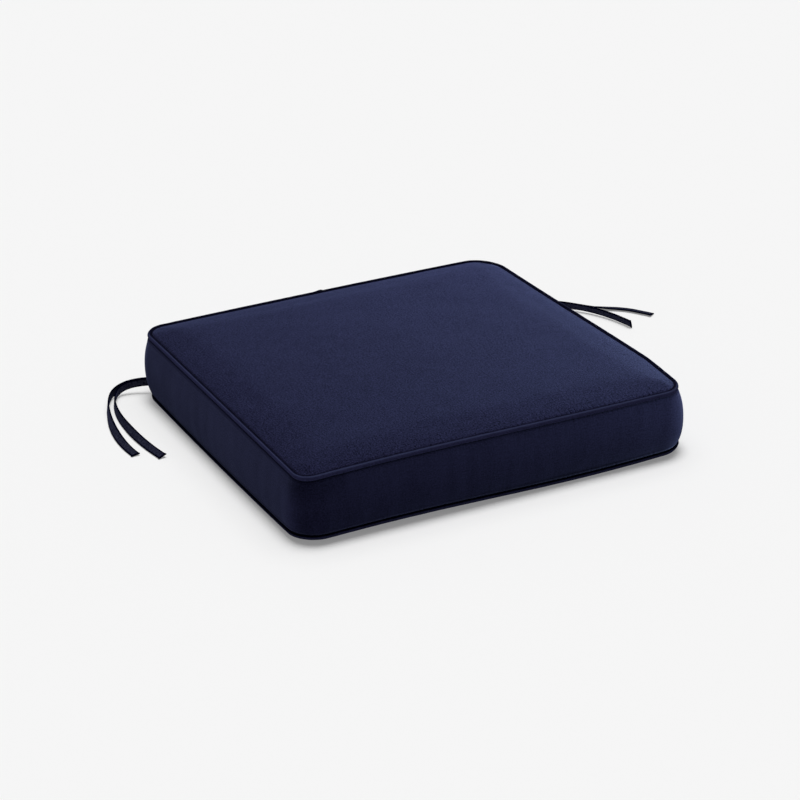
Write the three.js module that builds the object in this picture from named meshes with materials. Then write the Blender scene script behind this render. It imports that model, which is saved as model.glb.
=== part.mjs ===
// Box-edged chair cushion with piped seams and two pairs of tie straps.
// Millimetres. +Z is up, +Y points to the tied rear edge and +X to the right, seen from the front.
// The origin is on the floor below the middle of the cushion.

import * as THREE from 'three';

// Plan of the seam line, which is the middle of the piping cord.
const FRONT_WIDTH = 500;
const REAR_WIDTH = 475.4;
const DEPTH = 446.8;

// Height of the top seam line at the corners.
const TOP_SEAM_Z = 84.3;

// Each corner: the rounding of its two seam lines, the height of the bottom one and how far the boxing
// stands out of them there.
const CORNERS = {
  frontLeft: { topRadius: 18, bottomRadius: 32, bottomSeamZ: 10, swell: 7.2 },
  frontRight: { topRadius: 26, bottomRadius: 34, bottomSeamZ: 10.4, swell: 9.5 },
  rearRight: { topRadius: 38, bottomRadius: 38, bottomSeamZ: 8, swell: 7.2 },
  rearLeft: { topRadius: 25, bottomRadius: 33, bottomSeamZ: 8, swell: 9.8 },
};

// The top seam of the front right corner is drawn in from the right, and eases out along that side.
const DRAWN_CORNER = { inward: 8.8, length: 90 };

// How far the middle of each side strays from the straight lines between its corners, going from one to
// the other. outward: both seams in plan. top and bottom: the seams' heights, where sway lifts the first
// half and lowers the second. swell: how far the boxing stands out.
const SIDES = [
  {
    from: 'frontLeft', to: 'frontRight', outward: -0.4, swell: 9,
    top: { rise: 1.5, sway: 0.9 }, bottom: { rise: -1.6, sway: 2.3 },
  },
  {
    from: 'frontRight', to: 'rearRight', outward: 1.9, swell: 8.6,
    top: { rise: -1, sway: 0.6 }, bottom: { rise: -1.6, sway: 0 },
  },
  {
    from: 'rearRight', to: 'rearLeft', outward: 1, swell: 7.6,
    top: { rise: 0.8, sway: 0 }, bottom: { rise: -2, sway: 0 },
  },
  {
    from: 'rearLeft', to: 'frontLeft', outward: 0.4, swell: 8.2,
    top: { rise: 1, sway: 0 }, bottom: { rise: -2.8, sway: 0 },
  },
];
const JOIN_SIDE = 'rearRight';  // the ends of the top cord overlap on the side that starts at this corner
const SIDE_POWER = 0.7;        // a lower power carries a side's shape closer to its corners
const SWELL_POWER = 2.4;       // a higher power gives a flatter boxing with tighter shoulders
const SWELL_SAG = 1.12;        // over 1 puts the fullest part of the boxing below its middle

// Piping cord and the groove that it lies in.
const PIPING_RADIUS = 3.2;
const GROOVE_RADIUS = PIPING_RADIUS + 0.45;
const PIPING_FACETS = 8;
const PANEL_ANGLE = 125;       // where a panel meets the cord, from straight outward
const BOXING_ANGLE = -50;      // where the boxing meets the top cord
const GROOVE_STEPS = 6;

// The two ends of the top cord overlap near the middle of the rear edge: a ramp up, then a step down.
const JOIN_X = 3.7;
const JOIN_RAMP = 12;
const JOIN_STEP = 2;
const JOIN_RISE = 1.6;

// Crown of the top panel and the rise of the bottom panel to its seam.
const SHOULDER_RISE = 9.2;
const SHOULDER_LENGTH = 12.5;
const DOME_RISE = 2.6;
const CONTACT_INSET = 38;
const PANEL_INSETS = [5, 10, 16];
const LAST_INSET = PANEL_INSETS[PANEL_INSETS.length - 1];
const CROWN_SCALES = [0.94, 0.86, 0.68, 0.48, 0.26];
const CONTACT_SCALE = 0.92;    // size of the flat underside, against the last inset ring

const BOXING_ROWS = 7;
const CORNER_STEPS = 3;        // per half corner
const EDGE_STEPS = 16;         // on the straight part of a side, an even number

// Tie straps: flat, folded and stitched, cut square.
const STRAP_WIDTH = 10.2;
const STRAP_THICKNESS = 1.8;
const STRAP_EDGE = 0.5;
const STRAP_STEPS_PER_POINT = 2;

// Where each pair of ties is sewn in, low on the boxing of a rear corner: a point just off the cloth
// and the way that the cloth faces there.
const TIE_ROOTS = {
  left: { point: [-229.98, 222.5, 21], facing: [-0.557, 0.795, -0.242] },
  right: { point: [221.98, 223.71, 21], facing: [0.49, 0.84, -0.242] },
};

// The ties' routes from seam to free end, chosen by hand: x, y and z of the middle, and the lean of
// the strap's width in degrees, where 90 stands on edge and 0 or 180 lies flat.
const TIE_ROUTES = {
  tie_left_outer: {
    root: TIE_ROOTS.left,
    points: [
      [-231, 224.9, 16.2, 90],
      [-240.5, 229.4, 15.6, 90],
      [-251.5, 233.8, 14, 90],
      [-262.3, 236, 11.6, 90],
      [-272.3, 234.5, 8.8, 90],
      [-281.6, 228, 6.8, 91],
      [-289.3, 217, 6, 93],
      [-296.3, 203.5, 5.8, 97],
      [-302.6, 187.5, 5.7, 104],
      [-308.4, 169.5, 5.4, 114],
      [-313.2, 151, 4.9, 127],
      [-316.6, 131.5, 3.9, 142],
      [-318.3, 111.5, 2.8, 158],
      [-318.4, 92, 2.1, 168],
      [-317.2, 74, 1.9, 172],
    ],
  },
  tie_left_inner: {
    root: TIE_ROOTS.left,
    points: [
      [-232, 222.8, 16.2, 90],
      [-241.4, 227.2, 15.5, 90],
      [-252.2, 231.5, 13.8, 90],
      [-262.4, 233.4, 11.2, 90],
      [-270.8, 231, 8.3, 90],
      [-277.9, 223.3, 6.5, 92],
      [-284.4, 211, 5.9, 95],
      [-289.6, 197, 5.7, 99],
      [-293.7, 180.5, 5.5, 105],
      [-296.6, 162, 5.2, 113],
      [-298, 142, 4.9, 124],
      [-298.4, 121.5, 4.4, 137],
      [-297.4, 100, 3.6, 149],
      [-295.3, 77.5, 3.1, 156],
      [-292, 54, 3, 160],
    ],
  },
  tie_right_rear: {
    root: TIE_ROOTS.right,
    points: [
      [222, 224, 16.2, 90],
      [234, 228.5, 15.4, 90],
      [250, 231.5, 14, 88],
      [268, 231.9, 12.2, 84],
      [287, 229.6, 10.4, 80],
      [306, 224.8, 8.8, 75],
      [324, 217.7, 7.4, 70],
      [341, 208.5, 6, 60],
      [358, 198.7, 4.7, 43],
      [374, 188.5, 3.5, 25],
      [389.5, 178.8, 2.5, 13],
      [403.5, 169, 2.1, 9],
      [414.5, 157.5, 2.1, 9],
      [424, 143.5, 2.1, 9],
      [430, 134, 2.1, 9],
    ],
  },
  tie_right_front: {
    root: TIE_ROOTS.right,
    points: [
      [223, 221.8, 16.2, 90],
      [234.8, 226.1, 15.8, 90],
      [250.4, 229, 14.9, 88],
      [267.7, 229.3, 13.6, 84],
      [286.3, 227, 12.2, 79],
      [305, 221.8, 10.8, 75],
      [322.6, 213.8, 9.4, 72],
      [338.6, 202.9, 8.3, 71],
      [352, 190, 7.5, 71],
      [363, 176, 6.9, 72],
      [371.3, 160.5, 6.5, 73],
      [377.5, 144.5, 6.3, 74],
      [381.8, 129, 6.2, 75],
      [385, 113, 6.2, 76],
    ],
  },
};

const COLOURS = { cover: 0x23264a, piping: 0x20223f, strap: 0x1f2140 };
const CLOTH_ROUGHNESS = 0.92;

// Joins a stack of loops of points into one closed body. Each loop runs counter-clockwise, seen from
// the start of the stack. A ring-shaped body is made by joining its last loop to its first.
function loft(loops, isRing = false) {
  const count = loops[0].length;
  const points = loops.flat();
  const faces = [];
  const last = isRing ? loops.length : loops.length - 1;
  for (let row = 0; row < last; row += 1) {
    const upper = row * count;
    const lower = ((row + 1) % loops.length) * count;
    for (let i = 0; i < count; i += 1) {
      const next = (i + 1) % count;
      faces.push(upper + i, lower + i, lower + next);
      faces.push(upper + i, lower + next, upper + next);
    }
  }
  if (!isRing) {
    capLoop(points, faces, loops[0], 0, false);
    capLoop(points, faces, loops[loops.length - 1], (loops.length - 1) * count, true);
  }
  const geometry = new THREE.BufferGeometry();
  const coordinates = points.flatMap((point) => point.toArray());
  geometry.setAttribute('position', new THREE.Float32BufferAttribute(coordinates, 3));
  geometry.setIndex(faces);
  geometry.computeVertexNormals();
  return geometry;
}

// Closes a loop with a fan of faces round its middle.
function capLoop(points, faces, loop, start, isEnd) {
  const middle = new THREE.Vector3();
  loop.forEach((point) => middle.addScaledVector(point, 1 / loop.length));
  const centre = points.push(middle) - 1;
  for (let i = 0; i < loop.length; i += 1) {
    const here = start + i;
    const next = start + ((i + 1) % loop.length);
    faces.push(centre, isEnd ? next : here, isEnd ? here : next);
  }
}

// The four corners of a seam line in plan, with the arc that rounds each.
function planCorners(radiusOf) {
  const sharp = {
    frontLeft: new THREE.Vector2(-FRONT_WIDTH / 2, -DEPTH / 2),
    frontRight: new THREE.Vector2(FRONT_WIDTH / 2, -DEPTH / 2),
    rearRight: new THREE.Vector2(REAR_WIDTH / 2, DEPTH / 2),
    rearLeft: new THREE.Vector2(-REAR_WIDTH / 2, DEPTH / 2),
  };
  const outwardOf = (side) => {
    const along = sharp[side.to].clone().sub(sharp[side.from]).normalize();
    return new THREE.Vector2(along.y, -along.x);
  };
  const corners = {};
  SIDES.forEach((side, i) => {
    const before = outwardOf(SIDES[(i + SIDES.length - 1) % SIDES.length]);
    const after = outwardOf(side);
    const radius = radiusOf(CORNERS[side.from]);
    const inset = radius / (1 + before.dot(after));
    const centre = sharp[side.from].clone().addScaledVector(before, -inset).addScaledVector(after, -inset);
    const startAngle = before.angle();
    const turn = THREE.MathUtils.euclideanModulo(after.angle() - startAngle, 2 * Math.PI);
    corners[side.from] = { centre, radius, startAngle, turn };
  });
  return corners;
}

// A place on the arc of a corner, and the way that it faces.
function arcPoint(corner, share) {
  const angle = corner.startAngle + corner.turn * share;
  const outward = new THREE.Vector2(Math.cos(angle), Math.sin(angle));
  return { place: corner.centre.clone().addScaledVector(outward, corner.radius), outward };
}

// Distances along the straight part of a side, closer together where the top cord's ends overlap.
function straightSteps(length, joinAt) {
  const evenly = (start, end, steps) =>
    Array.from({ length: steps }, (_, i) => start + ((end - start) * i) / steps);
  if (joinAt === null) {
    return [...evenly(0, length, EDGE_STEPS), length];
  }
  const half = EDGE_STEPS / 2 - 1;
  return [
    ...evenly(0, joinAt - JOIN_STEP, half),
    joinAt - JOIN_STEP,
    ...evenly(joinAt, joinAt + JOIN_RAMP, 2),
    ...evenly(joinAt + JOIN_RAMP, length, half),
    length,
  ];
}

// The places along one side: half of its first corner, its straight part and half of its last corner.
function sidePlaces(side, first, last) {
  const start = arcPoint(first, 1);
  const end = arcPoint(last, 0);
  const length = start.place.distanceTo(end.place);
  const joinAt = side.from === JOIN_SIDE ? start.place.x - JOIN_X : null;
  const places = [];
  for (let i = 0; i < CORNER_STEPS; i += 1) {
    places.push(arcPoint(first, 0.5 + (0.5 * i) / CORNER_STEPS));
  }
  straightSteps(length, joinAt).forEach((distance) => {
    const place = start.place.clone().lerp(end.place, distance / length);
    places.push({ place, outward: start.outward });
  });
  for (let i = 1; i < CORNER_STEPS; i += 1) {
    places.push(arcPoint(last, (0.5 * i) / CORNER_STEPS));
  }
  return places;
}

// One station at each step round the cushion. It holds the places of the two seam lines in plan, the way
// they face, their heights and the swell of the cloth there.
function planStations() {
  const { lerp } = THREE.MathUtils;
  const topCorners = planCorners((corner) => corner.topRadius);
  const bottomCorners = planCorners((corner) => corner.bottomRadius);
  return SIDES.flatMap((side) => {
    const start = CORNERS[side.from];
    const end = CORNERS[side.to];
    const topPlaces = sidePlaces(side, topCorners[side.from], topCorners[side.to]);
    const bottomPlaces = sidePlaces(side, bottomCorners[side.from], bottomCorners[side.to]);
    const first = bottomPlaces[0].place;
    const sideLength = first.distanceTo(arcPoint(bottomCorners[side.to], 0.5).place);
    return bottomPlaces.map(({ place, outward }, i) => {
      const share = Math.min(1, place.distanceTo(first) / sideLength);
      const middleness = Math.sin(Math.PI * share) ** SIDE_POWER;
      const strayed = ({ rise, sway }) => rise * middleness + sway * Math.sin(2 * Math.PI * share);
      const bow = side.outward * middleness;
      return {
        topPlace: topPlaces[i].place.clone().addScaledVector(outward, bow - drawnIn(place, outward)),
        bottomPlace: place.clone().addScaledVector(outward, bow),
        outward,
        topSeam: TOP_SEAM_Z + strayed(side.top),
        bottomSeam: lerp(start.bottomSeamZ, end.bottomSeamZ, share) + strayed(side.bottom),
        swell: lerp(lerp(start.swell, end.swell, share), side.swell, middleness),
        joinLift: side.from === JOIN_SIDE ? joinLift(place.x) : 0,
      };
    });
  });
}

// Height that the overlapped cord end adds at a place along the rear edge.
function joinLift(x) {
  const ahead = JOIN_X - x;
  if (ahead < 0 || ahead > JOIN_RAMP) {
    return 0;
  }
  return JOIN_RISE * (1 - ahead / JOIN_RAMP);
}

// How far the top seam is drawn in at a place on the seam line.
function drawnIn(place, outward) {
  const away = (place.y + DEPTH / 2) / DRAWN_CORNER.length;
  return DRAWN_CORNER.inward * Math.max(0, outward.x) * Math.max(0, 1 - away);
}

// A loop of points, one per station, at a distance outward of the seam line and at a height.
// topShare is 1 for what follows the top seam and 0 for what follows the bottom seam.
function seamLoop(stations, topShare, outwardAndHeight) {
  return stations.map((station) => {
    const [reach, z] = outwardAndHeight(station);
    const place = station.bottomPlace.clone().lerp(station.topPlace, topShare);
    place.addScaledVector(station.outward, reach);
    return new THREE.Vector3(place.x, place.y, z);
  });
}

// Point on a circle round a seam line: how far outward and how far up.
function onCircle(radius, degrees) {
  const angle = THREE.MathUtils.degToRad(degrees);
  return [radius * Math.cos(angle), radius * Math.sin(angle)];
}

// Height of the top panel above its seam line, at a distance in from it.
function crownRise(inset, scale) {
  return SHOULDER_RISE * (1 - Math.exp(-inset / SHOULDER_LENGTH)) + DOME_RISE * (1 - scale ** 2);
}

// Height of the bottom panel, which curves down from its seam line to the floor.
function undersideHeight(seamHeight, inset) {
  return seamHeight * Math.max(0, 1 - inset / CONTACT_INSET) ** 2;
}

function topPanelLoops(stations) {
  const inner = seamLoop(stations, 1, (s) => [-LAST_INSET, s.topSeam]);
  const crown = CROWN_SCALES.map((scale) =>
    inner.map((point, i) => {
      const reach = point.x * stations[i].outward.x + point.y * stations[i].outward.y;
      const inset = LAST_INSET + (1 - scale) * reach;
      return new THREE.Vector3(point.x * scale, point.y * scale, point.z + crownRise(inset, scale));
    }),
  );
  const shoulder = PANEL_INSETS.map((inset) =>
    seamLoop(stations, 1, (s) => [-inset, s.topSeam + crownRise(inset, 1)]),
  );
  return [...crown.reverse(), ...shoulder.reverse()];
}

// The groove round a cord, from one angle to another, going from the top of the cushion down.
function grooveLoops(stations, topShare, fromAngle, toAngle, seamOf) {
  const loops = [];
  for (let i = 0; i <= GROOVE_STEPS; i += 1) {
    const [outward, up] = onCircle(GROOVE_RADIUS, fromAngle + ((toAngle - fromAngle) * i) / GROOVE_STEPS);
    loops.push(seamLoop(stations, topShare, (s) => [outward, seamOf(s) + up]));
  }
  return loops;
}

function boxingLoops(stations) {
  const [lip, lipDrop] = onCircle(GROOVE_RADIUS, BOXING_ANGLE);
  const loops = [];
  for (let row = 1; row < BOXING_ROWS; row += 1) {
    const share = 0.5 - 0.5 * Math.cos((Math.PI * row) / BOXING_ROWS);
    const fullness = 1 - Math.abs(2 * share ** SWELL_SAG - 1) ** SWELL_POWER;
    loops.push(
      seamLoop(stations, 1 - share, (s) => {
        const high = s.topSeam + s.joinLift + lipDrop;
        const low = s.bottomSeam - lipDrop;
        return [lip + (s.swell - lip) * fullness, high + (low - high) * share];
      }),
    );
  }
  return loops;
}

function bottomPanelLoops(stations) {
  const panel = PANEL_INSETS.map((inset) =>
    seamLoop(stations, 0, (s) => [-inset, undersideHeight(s.bottomSeam, inset)]),
  );
  const contact = seamLoop(stations, 0, () => [-LAST_INSET, 0]).map((point) =>
    point.multiplyScalar(CONTACT_SCALE),
  );
  return [...panel, contact];
}

function cushionBody(stations) {
  const topSeam = (s) => s.topSeam + s.joinLift;
  const bottomSeam = (s) => s.bottomSeam;
  return loft([
    ...topPanelLoops(stations),
    ...grooveLoops(stations, 1, PANEL_ANGLE, 360 + BOXING_ANGLE, topSeam),
    ...boxingLoops(stations),
    ...grooveLoops(stations, 0, -BOXING_ANGLE, 360 - PANEL_ANGLE, bottomSeam),
    ...bottomPanelLoops(stations),
  ]);
}

function pipingCord(stations, topShare, seamOf) {
  const loops = [];
  for (let i = 0; i < PIPING_FACETS; i += 1) {
    const [outward, up] = onCircle(PIPING_RADIUS, 90 - (360 * i) / PIPING_FACETS);
    loops.push(seamLoop(stations, topShare, (s) => [outward, seamOf(s) + up]));
  }
  return loft(loops, true);
}

// Outline of a strap's cross-section, with its edges taken off: across the width, then the thickness.
function strapSection() {
  const a = STRAP_WIDTH / 2;
  const b = STRAP_THICKNESS / 2;
  const quarter = [[a, b - STRAP_EDGE], [a - STRAP_EDGE, b]];
  const half = [...quarter, ...quarter.map(([x, y]) => [-x, y]).reverse()];
  return [...half, ...half.map(([x, y]) => [-x, -y])];
}

// A strap swept along its route. Its first section is slid along the strap onto the cushion's cloth.
function tieStrap({ root, points }) {
  const curve = (places) => new THREE.CatmullRomCurve3(places, false, 'catmullrom', 0.5);
  const middle = curve(points.map(([x, y, z]) => new THREE.Vector3(x, y, z)));
  const lean = curve(points.map((row) => new THREE.Vector3(row[3], 0, 0)));
  const rootPlane = new THREE.Plane().setFromNormalAndCoplanarPoint(
    new THREE.Vector3(...root.facing).normalize(),
    new THREE.Vector3(...root.point),
  );
  const up = new THREE.Vector3(0, 0, 1);
  const steps = (points.length - 1) * STRAP_STEPS_PER_POINT;
  const loops = [];
  for (let i = 0; i <= steps; i += 1) {
    const share = i / steps;
    const centre = middle.getPoint(share);
    const along = middle.getTangent(share);
    const beside = along.clone().cross(up).normalize();
    const above = beside.clone().cross(along);
    const angle = THREE.MathUtils.degToRad(lean.getPoint(share).x);
    const across = beside.multiplyScalar(Math.cos(angle)).addScaledVector(above, Math.sin(angle));
    const through = along.clone().cross(across);
    const loop = strapSection().map(([x, y]) =>
      centre.clone().addScaledVector(across, x).addScaledVector(through, -y),
    );
    if (i === 0) {
      const slope = along.dot(rootPlane.normal);
      loop.forEach((point) => point.addScaledVector(along, -rootPlane.distanceToPoint(point) / slope));
    }
    loops.push(loop);
  }
  return loft(loops);
}

function clothMesh(name, geometry, colour) {
  const material = new THREE.MeshStandardMaterial({ color: colour, roughness: CLOTH_ROUGHNESS });
  const mesh = new THREE.Mesh(geometry, material);
  mesh.name = name;
  return mesh;
}

const stations = planStations();
const cushion = new THREE.Group();
cushion.add(clothMesh('cushion_body', cushionBody(stations), COLOURS.cover));
const topCord = pipingCord(stations, 1, (s) => s.topSeam + s.joinLift);
const bottomCord = pipingCord(stations, 0, (s) => s.bottomSeam);
cushion.add(clothMesh('piping_top', topCord, COLOURS.piping));
cushion.add(clothMesh('piping_bottom', bottomCord, COLOURS.piping));

const ties = new THREE.Group();
Object.entries(TIE_ROUTES).forEach(([name, route]) => {
  ties.add(clothMesh(name, tieStrap(route), COLOURS.strap));
});

const chairCushion = new THREE.Group();
chairCushion.add(cushion, ties);

export default chairCushion;
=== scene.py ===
# Box-edged chair cushion with piped seams and two pairs of tie straps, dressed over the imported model.
import math

import bpy
import numpy as np
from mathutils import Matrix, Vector, noise


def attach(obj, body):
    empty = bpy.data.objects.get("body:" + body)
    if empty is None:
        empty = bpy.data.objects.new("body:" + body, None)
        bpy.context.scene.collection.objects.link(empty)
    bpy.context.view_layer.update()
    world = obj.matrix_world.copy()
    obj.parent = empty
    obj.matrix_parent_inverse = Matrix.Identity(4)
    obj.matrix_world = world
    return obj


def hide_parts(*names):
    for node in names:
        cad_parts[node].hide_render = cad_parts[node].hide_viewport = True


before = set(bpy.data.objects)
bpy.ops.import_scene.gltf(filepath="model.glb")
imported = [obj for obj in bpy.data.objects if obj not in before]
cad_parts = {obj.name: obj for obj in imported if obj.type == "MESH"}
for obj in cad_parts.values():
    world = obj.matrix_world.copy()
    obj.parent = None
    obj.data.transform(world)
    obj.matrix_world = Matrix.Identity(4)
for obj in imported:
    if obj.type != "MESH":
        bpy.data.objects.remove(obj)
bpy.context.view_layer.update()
mm = 0.001
up = np.array([0.0, 0.0, 1.0])
print("frame loaded, nodes:", ", ".join(sorted(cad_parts)))


cameraSetup = {
    "place": (-1.517776, -2.814281, 1.542846),
    "tilt": 64.716,        # degrees up from straight down
    "turn": -28.2,
    "lens": 134.68,
    "sensor": 36.0,
    "farthest": 60,
}


def addCamera():
    turn = (math.radians(cameraSetup["tilt"]), 0, math.radians(cameraSetup["turn"]))
    bpy.ops.object.camera_add(location=cameraSetup["place"], rotation=turn)
    camera = bpy.context.object
    camera.data.sensor_width = cameraSetup["sensor"]
    camera.data.lens = cameraSetup["lens"]
    camera.data.clip_end = cameraSetup["farthest"]
    bpy.context.scene.camera = camera


addCamera()
print("camera placed")


def deselectAll():
    if bpy.context.object and bpy.context.object.mode != "OBJECT":
        bpy.ops.object.mode_set(mode="OBJECT")
    bpy.ops.object.select_all(action="DESELECT")


def pick(piece):
    deselectAll()
    piece.select_set(True)
    bpy.context.view_layer.objects.active = piece


def unit(vectors):
    return vectors / np.linalg.norm(vectors, axis=-1, keepdims=True)


def points(piece):
    flat = np.zeros(len(piece.data.vertices) * 3)
    piece.data.vertices.foreach_get("co", flat)
    return flat.reshape(-1, 3)


def setPoints(piece, places):
    piece.data.vertices.foreach_set("co", np.ascontiguousarray(places, float).ravel())
    piece.data.update()


def waver(places, size, seed):
    # smooth noise from -1 to 1 at each place, the same every run
    away = Vector((13.7 * seed, -7.3 * seed, 4.1 * seed))
    return np.array([noise.noise(Vector(place) / size + away) for place in places])


def smoothLine(rows, steps):
    # a smooth line through rows of numbers, with steps points to each span
    rows = np.array(rows, float)
    ends = np.vstack([2 * rows[0] - rows[1], rows, 2 * rows[-1] - rows[-2]])
    out = []
    for i in range(len(rows) - 1):
        a, b, c, d = ends[i : i + 4]
        for step in range(steps):
            t = step / steps
            out.append(b + 0.5 * t * (c - a + t * (2 * a - 5 * b + 4 * c - d + t * (3 * (b - c) + d - a))))
    return np.array(out + [rows[-1]])


def uvFrom(piece, name, corners):
    # corners holds one (u, v) for each face corner
    layer = piece.data.uv_layers.get(name) or piece.data.uv_layers.new(name=name)
    layer.data.foreach_set("uv", np.ascontiguousarray(corners, float).ravel())


tie = {
    "width": 10.2 * mm,
    "thick": 1.8 * mm,
    "edge": 0.55 * mm,         # rounding of the folded edges
    "edgeTurns": (60, 25, -25, -60),   # degrees round a folded edge at which it has points
    "stitchFrom": 3.75 * mm,   # rows of stitching, from the middle of the strap
    "stitchWidth": 0.45 * mm,
    "sink": 0.14 * mm,         # how deep the stitching pulls the cloth in
    "acrossPoints": 17,
    "steps": 14,               # to each point of a route
    "flare": 0.14,             # the cut end spreads
    "flareLength": 4 * mm,
    "ripple": (0.16 * mm, 11 * mm),    # depth and size of the unevenness along the strap
    "fray": (0.25 * mm, 1.2 * mm),     # depth and size of the cut end's ragged threads
    "sewnIn": 4.0 * mm,        # how far the sewn end goes into the seam
    "smoothAngle": 50,         # sharper edges than this, in degrees, stay sharp
}

# middle of each strap from the seam to its free end in millimetres, and the lean of its width in degrees
tieRoutes = {
    "tie_left_outer": [
        (-231, 224.9, 16.2, 90), (-240.5, 229.4, 15.6, 90), (-251.5, 233.8, 14, 90),
        (-262.3, 236, 11.6, 90), (-272.3, 234.5, 8.8, 90), (-281.6, 228, 6.8, 91),
        (-289.3, 217, 6, 93), (-296.3, 203.5, 5.8, 97), (-302.6, 187.5, 5.7, 104),
        (-308.4, 169.5, 5.4, 114), (-313.2, 151, 4.9, 127), (-316.6, 131.5, 3.9, 142),
        (-318.3, 111.5, 2.8, 158), (-318.4, 92, 2.1, 168), (-317.2, 74, 1.9, 172),
    ],
    "tie_left_inner": [
        (-232, 222.8, 16.2, 90), (-241.4, 227.2, 15.5, 90), (-252.2, 231.5, 13.8, 90),
        (-262.4, 233.4, 11.2, 90), (-270.8, 231, 8.3, 90), (-277.9, 223.3, 6.5, 92),
        (-284.4, 211, 5.9, 95), (-289.6, 197, 5.7, 99), (-293.7, 180.5, 5.5, 105),
        (-296.6, 162, 5.2, 113), (-298, 142, 4.9, 124), (-298.4, 121.5, 4.4, 137),
        (-297.4, 100, 3.6, 149), (-295.3, 77.5, 3.1, 156), (-292, 54, 3, 160),
    ],
    "tie_right_rear": [
        (222, 224, 16.2, 90), (234, 228.5, 15.4, 90), (250, 231.5, 14, 88),
        (268, 231.9, 12.2, 84), (287, 229.6, 10.4, 80), (306, 224.8, 8.8, 75),
        (324, 217.7, 7.4, 70), (341, 208.5, 6, 60), (358, 198.7, 4.7, 43),
        (374, 188.5, 3.5, 25), (389.5, 178.8, 2.5, 13), (403.5, 169, 2.1, 9),
        (414.5, 157.5, 2.1, 9), (424, 143.5, 2.1, 9), (430, 134, 2.1, 9),
    ],
    "tie_right_front": [
        (223, 221.8, 16.2, 90), (234.8, 226.1, 15.8, 90), (250.4, 229, 14.9, 88),
        (267.7, 229.3, 13.6, 84), (286.3, 227, 12.2, 79), (305, 221.8, 10.8, 75),
        (322.6, 213.8, 9.4, 72), (338.6, 202.9, 8.3, 71), (352, 190, 7.5, 71),
        (363, 176, 6.9, 72), (371.3, 160.5, 6.5, 73), (377.5, 144.5, 6.3, 74),
        (381.8, 129, 6.2, 75), (385, 113, 6.2, 76),
    ],
}


def strapOutline():
    # once round the strap's cross-section: across its width and through its thickness
    half, deep, edge = tie["width"] / 2, tie["thick"] / 2, tie["edge"]
    across = np.linspace(half - edge, edge - half, tie["acrossPoints"])
    sunk = tie["sink"] * np.exp(-(((np.abs(across) - tie["stitchFrom"]) / tie["stitchWidth"]) ** 2))
    top = np.column_stack([across, deep - sunk])
    turn = np.radians(tie["edgeTurns"])
    left = np.column_stack([edge - half - edge * np.cos(turn), deep * np.sin(turn)])
    return np.vstack([top, left, -top, -left])


def makeTie(name, route, seed):
    line = smoothLine(route, tie["steps"])
    middle = line[:, :3] * mm
    along = unit(np.gradient(middle, axis=0))
    first = middle[0] - along[0] * tie["sewnIn"]
    middle = np.vstack([first, middle])
    along = np.vstack([along[0], along])
    lean = np.radians(np.append(line[0, 3], line[:, 3]))[:, None]
    beside = unit(np.cross(along, up))
    above = np.cross(beside, along)
    across = beside * np.cos(lean) + above * np.sin(lean)
    through = np.cross(along, across)
    run = np.append(0, np.cumsum(np.linalg.norm(np.diff(middle, axis=0), axis=1)))
    flare = 1 + tie["flare"] * np.clip(1 - (run[-1] - run) / tie["flareLength"], 0, 1) ** 2
    depth, size = tie["ripple"]
    ripple = depth * waver(np.column_stack([run, run * 0, run * 0]), size, seed)
    outline = strapOutline()
    rings = (
        middle[:, None]
        + across[:, None] * (outline[:, 0] * flare[:, None])[..., None]
        + through[:, None] * (outline[:, 1] + ripple[:, None])[..., None]
    )
    depth, size = tie["fray"]
    ragged = depth * waver(np.column_stack([outline, outline[:, 0] * 0]), size, seed)
    rings[-1] += along[-1] * ragged[:, None]
    count, around = rings.shape[:2]
    faces = []
    for ring in range(count - 1):
        here, there = ring * around, (ring + 1) * around
        for i in range(around):
            j = (i + 1) % around
            faces.append((here + i, here + j, there + j, there + i))
    faces.append(tuple(range(around))[::-1])
    faces.append(tuple((count - 1) * around + i for i in range(around)))
    mesh = bpy.data.meshes.new(name)
    mesh.from_pydata([tuple(p) for p in rings.reshape(-1, 3)], [], faces)
    piece = bpy.data.objects.new(name + "_strap", mesh)
    bpy.context.scene.collection.objects.link(piece)
    pick(piece)
    bpy.ops.object.mode_set(mode="EDIT")
    bpy.ops.mesh.select_all(action="SELECT")
    bpy.ops.mesh.normals_make_consistent(inside=False)
    bpy.ops.object.mode_set(mode="OBJECT")
    bpy.ops.object.shade_smooth_by_angle(angle=math.radians(tie["smoothAngle"]))
    corner = np.zeros(len(mesh.loops), int)
    mesh.loops.foreach_get("vertex_index", corner)
    fromEnd = run[-1] - run[corner // around]
    uvFrom(piece, "strap", np.column_stack([fromEnd, outline[corner % around, 0]]))
    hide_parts(name)
    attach(piece, "root")
    each = tie["steps"] // 2
    path = middle[::each]
    if (len(middle) - 1) % each:
        path = np.vstack([path, middle[-1]])
    return piece


tiePieces = [makeTie(name, route, seed + 1) for seed, (name, route) in enumerate(tieRoutes.items())]
print("ties laid")


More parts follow.
